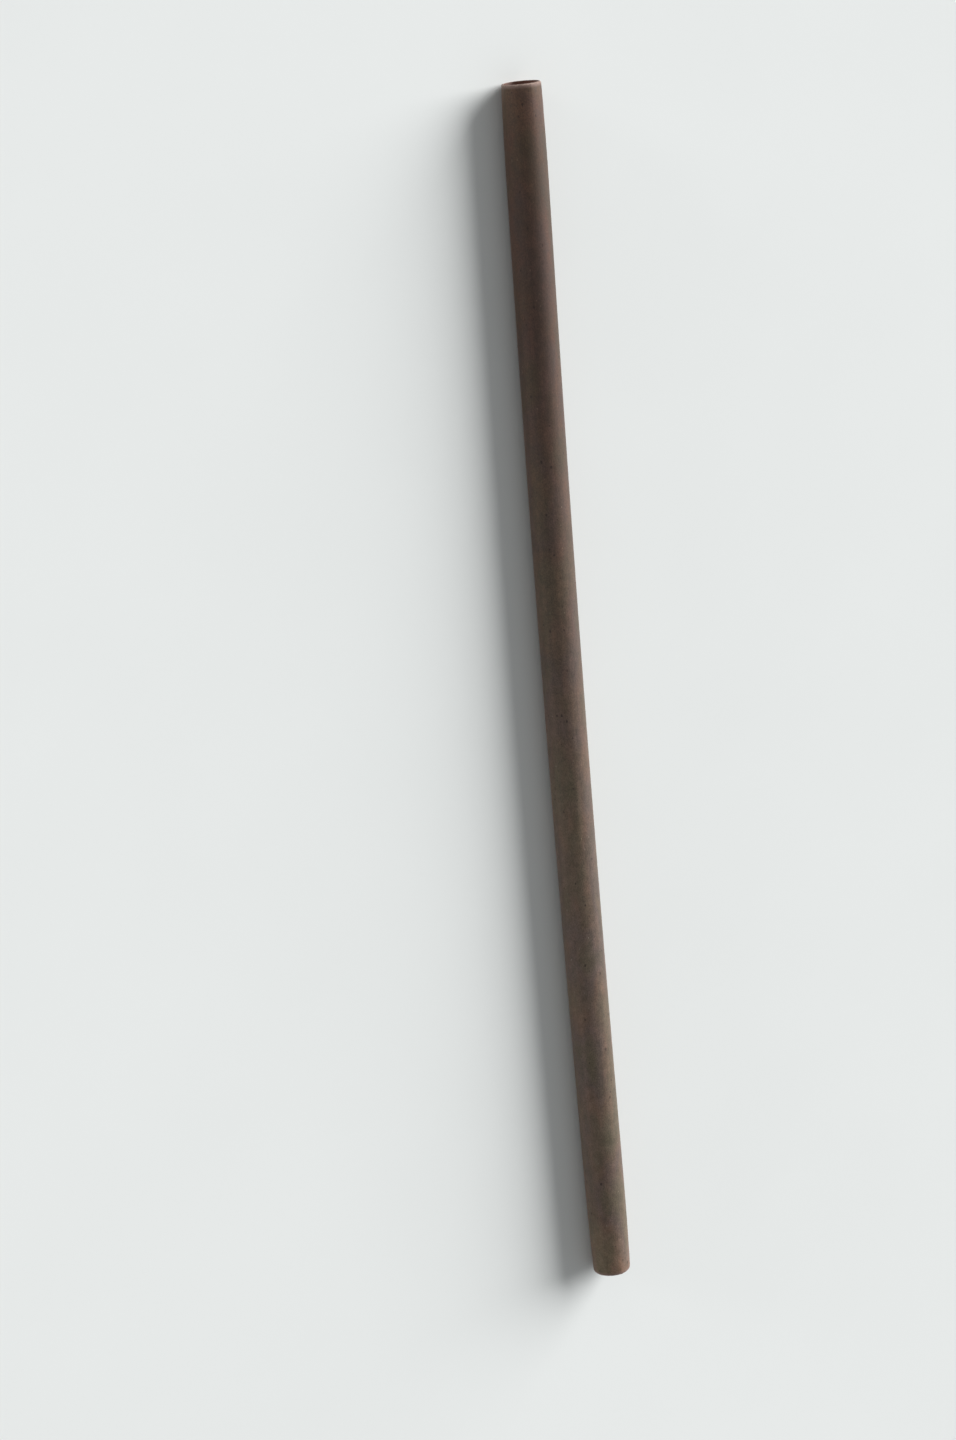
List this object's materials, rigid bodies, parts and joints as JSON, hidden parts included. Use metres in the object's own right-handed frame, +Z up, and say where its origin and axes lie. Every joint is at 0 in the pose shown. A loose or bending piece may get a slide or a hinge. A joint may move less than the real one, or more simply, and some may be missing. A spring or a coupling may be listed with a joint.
{
  "type": "drinking straw",
  "caption": "Thin-walled drinking straw of dark plant fibre, open at both ends, with sheared mouths nipped to a slight lens shape and the faint bow of an extruded tube.",
  "frame": {"origin": "middle of the straw's length and width, on the line where its side lies on the table", "axes": "+X along the straw towards its drinking mouth, +Z up from the table"},
  "size_m": [0.2102, 0.0076, 0.007],
  "materials": {
    "fibre_wall": "matte, dark brown, finely speckled"
  },
  "bodies": {
    "root": {"straw_tube": "fibre_wall"}
  },
  "joints": []
}
